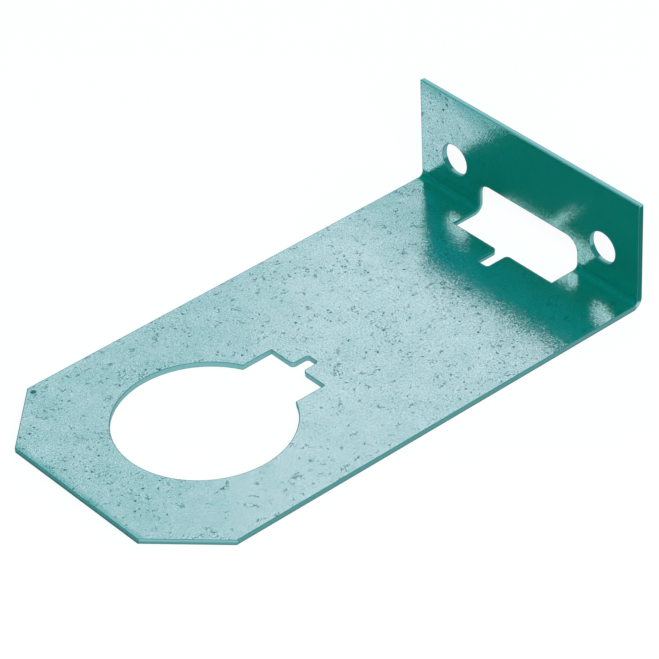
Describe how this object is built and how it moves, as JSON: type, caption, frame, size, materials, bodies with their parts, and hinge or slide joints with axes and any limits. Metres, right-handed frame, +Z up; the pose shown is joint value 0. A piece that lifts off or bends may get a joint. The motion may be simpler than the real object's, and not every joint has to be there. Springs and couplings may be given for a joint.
{
  "type": "railing anchor",
  "caption": "Folded galvanised steel railing anchor: a flat plate with a keyed round post hole, and a short upright flange with fixing holes and a window punched across the fold.",
  "frame": {"origin": "on the plate's underside, at the middle of the overall length and width", "axes": "+X along the plate towards the flange, +Y across the plate, +Z up from the plate"},
  "size_m": [0.15, 0.08, 0.0315],
  "materials": {
    "galvanised_steel": "zinc coated sheet, satin, pale teal cast with fine dark specks"
  },
  "bodies": {
    "root": {"anchor_plate": "galvanised_steel"}
  },
  "joints": []
}
